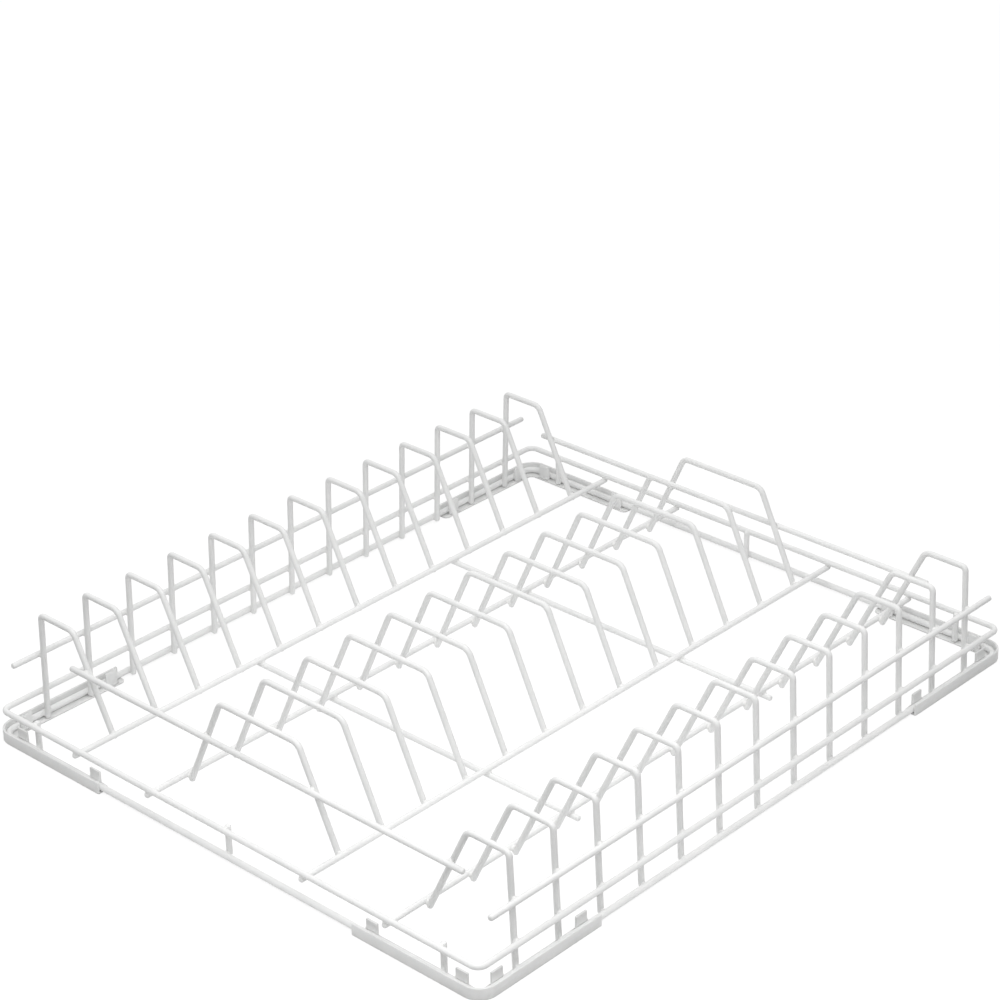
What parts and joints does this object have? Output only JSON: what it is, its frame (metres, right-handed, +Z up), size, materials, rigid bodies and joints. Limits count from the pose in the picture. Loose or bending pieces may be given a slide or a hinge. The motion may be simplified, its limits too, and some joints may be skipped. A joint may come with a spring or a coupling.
{
  "type": "dishwasher basket",
  "caption": "Low wire basket for a dishwasher: rows of bent loops stand plates on edge above a welded wire floor, inside guard rails, on clip-on corner shoes.",
  "frame": {"origin": "centre of the basket's footprint, on the surface that the corner shoes stand on", "axes": "+Z up, +Y along the rows of loops towards the rear, +X across the rows to the right"},
  "size_m": [0.419, 0.5, 0.0804],
  "materials": {
    "coated_wire": "semi-gloss white coating",
    "moulded_shoe": "satin white plastic"
  },
  "bodies": {
    "root": {"bottom_ring": "coated_wire", "rim_ring": "coated_wire", "left_guard_rail": "coated_wire", "right_guard_rail": "coated_wire", "front_guard_rail": "coated_wire", "rear_guard_rail": "coated_wire", "left_outer_floor_wire": "coated_wire", "left_inner_floor_wire": "coated_wire", "right_inner_floor_wire": "coated_wire", "right_outer_floor_wire": "coated_wire", "front_cross_wire": "coated_wire", "rear_cross_wire": "coated_wire", "left_dividers": "coated_wire", "centre_dividers": "coated_wire", "right_dividers": "coated_wire", "front_posts": "coated_wire", "rear_posts": "coated_wire", "front_left_shoe": "moulded_shoe", "front_right_shoe": "moulded_shoe", "rear_left_shoe": "moulded_shoe", "rear_right_shoe": "moulded_shoe"}
  },
  "joints": []
}
